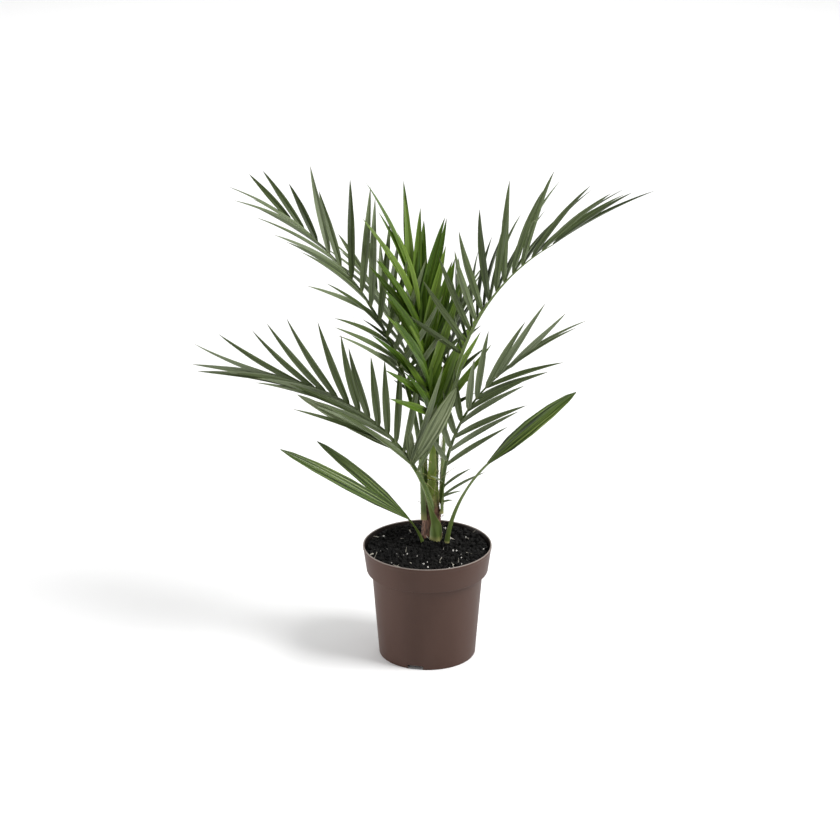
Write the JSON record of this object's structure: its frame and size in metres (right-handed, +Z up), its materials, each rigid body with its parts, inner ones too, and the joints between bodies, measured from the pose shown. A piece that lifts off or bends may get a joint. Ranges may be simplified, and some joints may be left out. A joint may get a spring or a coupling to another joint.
{
  "type": "potted canary island date palm",
  "caption": "Young feather palm in a plain round nursery pot, with arching fronds of narrow leaflets on channelled stalks and strap-shaped young leaves.",
  "frame": {"origin": "centre of the pot's flat underside, on the ground", "axes": "+Z up along the pot's axis, -Y towards the front of the plant, +X to its right"},
  "size_m": [0.5248, 0.2676, 0.5949],
  "materials": {
    "taupe_plastic": "satin",
    "peat": "matte",
    "stem_fibre": "matte",
    "stalk_green": "satin",
    "leaf_green": "satin"
  },
  "bodies": {
    "root": {"pot": "taupe_plastic", "soil": "peat", "stem": "stem_fibre", "stalk_upper_right": "stalk_green", "stalk_upper_left": "stalk_green", "stalk_centre": "stalk_green", "stalk_front_left": "stalk_green", "stalk_mid_right": "stalk_green", "stalk_back_left": "stalk_green", "stalk_back_right": "stalk_green", "stalk_young_left": "stalk_green", "stalk_young_right": "stalk_green", "frond_upper_right": "leaf_green", "frond_upper_left": "leaf_green", "frond_centre": "leaf_green", "frond_front_left": "leaf_green", "frond_mid_right": "leaf_green", "frond_back_left": "leaf_green", "frond_back_right": "leaf_green", "leaf_young_left": "leaf_green", "leaf_young_right": "leaf_green"}
  },
  "joints": []
}
